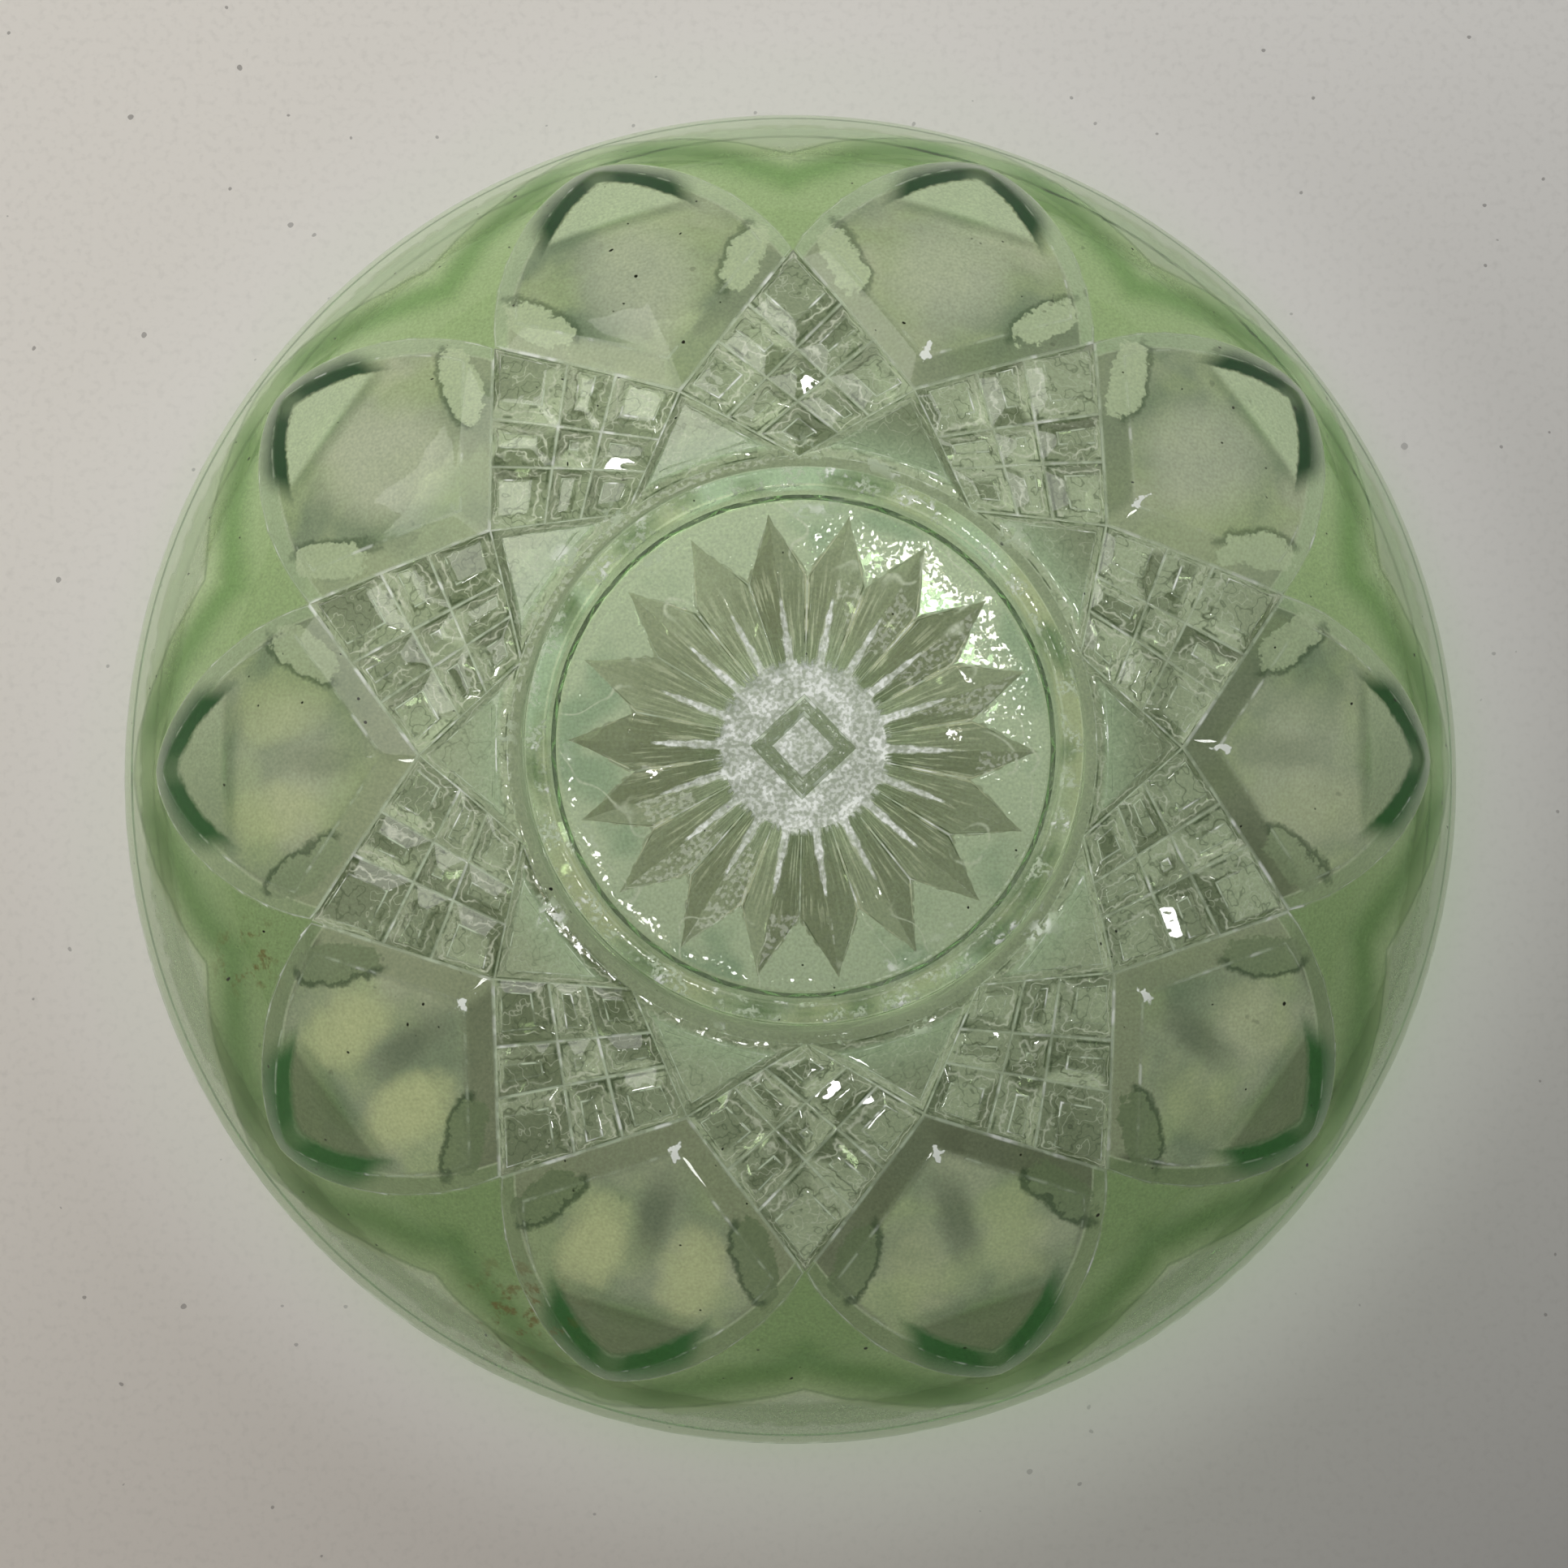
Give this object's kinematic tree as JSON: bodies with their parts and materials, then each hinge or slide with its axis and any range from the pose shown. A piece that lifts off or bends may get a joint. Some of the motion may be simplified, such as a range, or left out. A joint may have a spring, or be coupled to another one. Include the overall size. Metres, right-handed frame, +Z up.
{
  "type": "pressed glass dish",
  "caption": "Round pressed-glass dish in yellow-green uranium glass, with arched petals and cut-style diamond panels around a rayed foot.",
  "frame": {"origin": "centre of the foot ring's resting plane", "axes": "+Z up through the open bowl, +X through the middle of one petal"},
  "size_m": [0.12, 0.12, 0.038],
  "materials": {
    "uranium_glass": "pressed clear glass with a yellow-green uranium tint, fire-polished outside, stippled base, worn foot"
  },
  "bodies": {
    "root": {"dish": "uranium_glass"}
  },
  "joints": []
}
